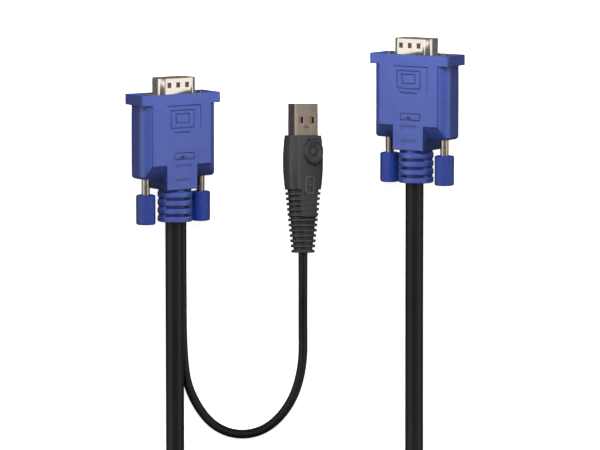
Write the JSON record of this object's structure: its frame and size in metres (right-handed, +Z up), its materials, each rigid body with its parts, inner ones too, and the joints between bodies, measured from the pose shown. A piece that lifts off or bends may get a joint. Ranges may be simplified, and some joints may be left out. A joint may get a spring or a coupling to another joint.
{
  "type": "kvm cable set",
  "caption": "Cable set for a keyboard, video and mouse switch: video plugs with thumbscrews on a thick cable, and a thin USB lead beside it.",
  "frame": {"origin": "on the table, midway between the two video plugs and under the middle of their length", "axes": "+Y the way the plugs face, +X from the computer end's plug to the switch end's plug, +Z up from the table"},
  "size_m": [0.13, 0.2659, 0.0307],
  "materials": {
    "plated_shell": "bright nickel plate over formed steel",
    "usb_steel": "satin plated steel",
    "insulator": "moulded thermoplastic",
    "contact_metal": "thin gold flash",
    "wire_insulation": "coloured wire insulation",
    "inner_mould": "natural moulding",
    "blue_vinyl": "satin flexible vinyl with a fine spark texture",
    "knob_plastic": "satin moulded plastic",
    "screw_steel": "bright turned steel",
    "black_vinyl": "satin flexible vinyl",
    "cable_jacket": "satin extruded vinyl",
    "tie_fabric": "black hook and loop strap"
  },
  "bodies": {
    "root": {"pc_front_shell": "plated_shell", "pc_rear_shell": "plated_shell", "pc_eyelets": "plated_shell", "pc_insulator": "insulator", "pc_contact_pins": "contact_metal", "pc_wires": "wire_insulation", "pc_inner_mould": "inner_mould", "pc_shield_can": "plated_shell", "pc_crimp_ring": "plated_shell", "pc_hood": "blue_vinyl", "switch_front_shell": "plated_shell", "switch_rear_shell": "plated_shell", "switch_eyelets": "plated_shell", "switch_insulator": "insulator", "switch_contact_pins": "contact_metal", "switch_wires": "wire_insulation", "switch_inner_mould": "inner_mould", "switch_shield_can": "plated_shell", "switch_crimp_ring": "plated_shell", "switch_hood": "blue_vinyl", "pc_splice_wires": "wire_insulation", "usb_shell": "usb_steel", "usb_tongue": "insulator", "usb_contacts": "contact_metal", "usb_wires": "wire_insulation", "usb_inner_mould": "inner_mould", "usb_crimp_ring": "usb_steel", "usb_hood": "black_vinyl", "pc_side_cable": "cable_jacket", "switch_side_cable": "cable_jacket", "cable_coil": "cable_jacket", "coil_tie": "tie_fabric", "usb_lead": "cable_jacket"},
    "pc_left_clip": {"pc_left_clip": "screw_steel"},
    "pc_left_thumbscrew": {"pc_left_screw": "screw_steel", "pc_left_knob": "knob_plastic"},
    "pc_right_clip": {"pc_right_clip": "screw_steel"},
    "pc_right_thumbscrew": {"pc_right_screw": "screw_steel", "pc_right_knob": "knob_plastic"},
    "switch_left_clip": {"switch_left_clip": "screw_steel"},
    "switch_left_thumbscrew": {"switch_left_screw": "screw_steel", "switch_left_knob": "knob_plastic"},
    "switch_right_clip": {"switch_right_clip": "screw_steel"},
    "switch_right_thumbscrew": {"switch_right_screw": "screw_steel", "switch_right_knob": "knob_plastic"}
  },
  "joints": [
    {"name": "pc_left_slide", "type": "slide", "parent": "root", "child": "pc_left_clip", "axis": [0, 0.9954, 0.0958], "range_m": [0, 0.0055]},
    {"name": "pc_left_turn", "type": "hinge", "parent": "pc_left_clip", "child": "pc_left_thumbscrew", "pos_m": [-0.0572, -0.03008, 0.01848], "axis": [0, 0.9954, 0.0958], "continuous": true},
    {"name": "pc_right_slide", "type": "slide", "parent": "root", "child": "pc_right_clip", "axis": [0, 0.9954, 0.0958], "range_m": [0, 0.0055]},
    {"name": "pc_right_turn", "type": "hinge", "parent": "pc_right_clip", "child": "pc_right_thumbscrew", "pos_m": [-0.0366, -0.02872, 0.00439], "axis": [0, 0.9954, 0.0958], "continuous": true},
    {"name": "switch_left_slide", "type": "slide", "parent": "root", "child": "switch_left_clip", "axis": [0, 0.9954, 0.0958], "range_m": [0, 0.0055]},
    {"name": "switch_left_turn", "type": "hinge", "parent": "switch_left_clip", "child": "switch_left_thumbscrew", "pos_m": [0.0366, -0.01372, 0.00439], "axis": [0, 0.9954, 0.0958], "continuous": true},
    {"name": "switch_right_slide", "type": "slide", "parent": "root", "child": "switch_right_clip", "axis": [0, 0.9954, 0.0958], "range_m": [0, 0.0055]},
    {"name": "switch_right_turn", "type": "hinge", "parent": "switch_right_clip", "child": "switch_right_thumbscrew", "pos_m": [0.0572, -0.01508, 0.01848], "axis": [0, 0.9954, 0.0958], "continuous": true}
  ]
}
